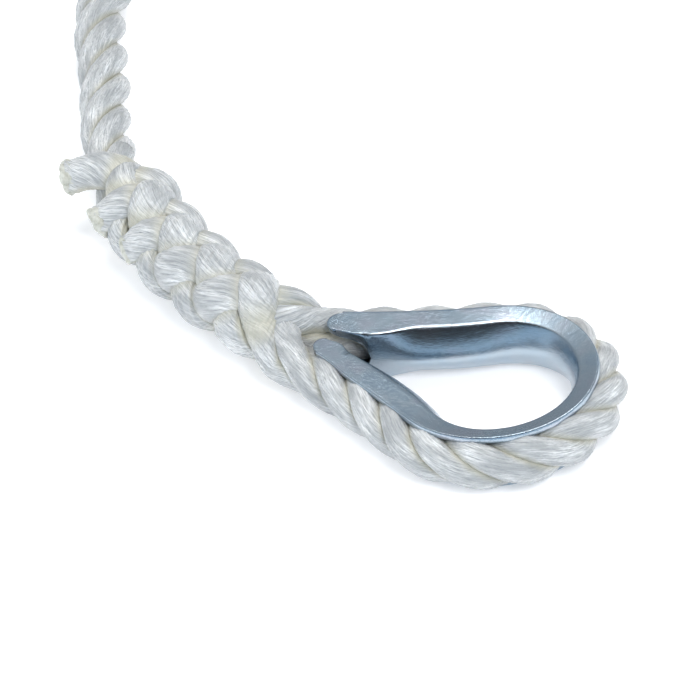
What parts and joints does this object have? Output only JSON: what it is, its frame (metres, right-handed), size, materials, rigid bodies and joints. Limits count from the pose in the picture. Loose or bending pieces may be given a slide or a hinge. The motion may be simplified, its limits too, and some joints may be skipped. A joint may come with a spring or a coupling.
{
  "type": "thimble eye",
  "caption": "Laid rope spliced round a zinc-plated steel thimble, with tucked strands, melted strand ends and a coiled free rope.",
  "frame": {"origin": "centre of the thimble's crown, on the mid-plane of its channel", "axes": "+X out through the crown, away from the splice; +Z square to the thimble's plane"},
  "size_m": [0.1968, 0.3208, 0.024],
  "materials": {
    "zinc_plate": "bright zinc plated over pressed steel",
    "rope_strand": "white polyamide filament yarns, twisted",
    "sealed_end": "polyamide melted by a flame",
    "laid_rope": "white three-strand polyamide rope",
    "whipping_twine": "waxed twine"
  },
  "bodies": {
    "root": {"thimble": "zinc_plate", "eye_strand_1": "rope_strand", "eye_strand_2": "rope_strand", "eye_strand_3": "rope_strand", "standing_strand_1": "rope_strand", "standing_strand_2": "rope_strand", "standing_strand_3": "rope_strand", "tucked_strand_1": "rope_strand", "tucked_strand_2": "rope_strand", "tucked_strand_3": "rope_strand", "sealed_end_1": "sealed_end", "sealed_end_2": "sealed_end", "sealed_end_3": "sealed_end", "standing_rope": "laid_rope", "rope_coil": "laid_rope", "rope_end": "laid_rope", "end_whipping": "whipping_twine"}
  },
  "joints": []
}
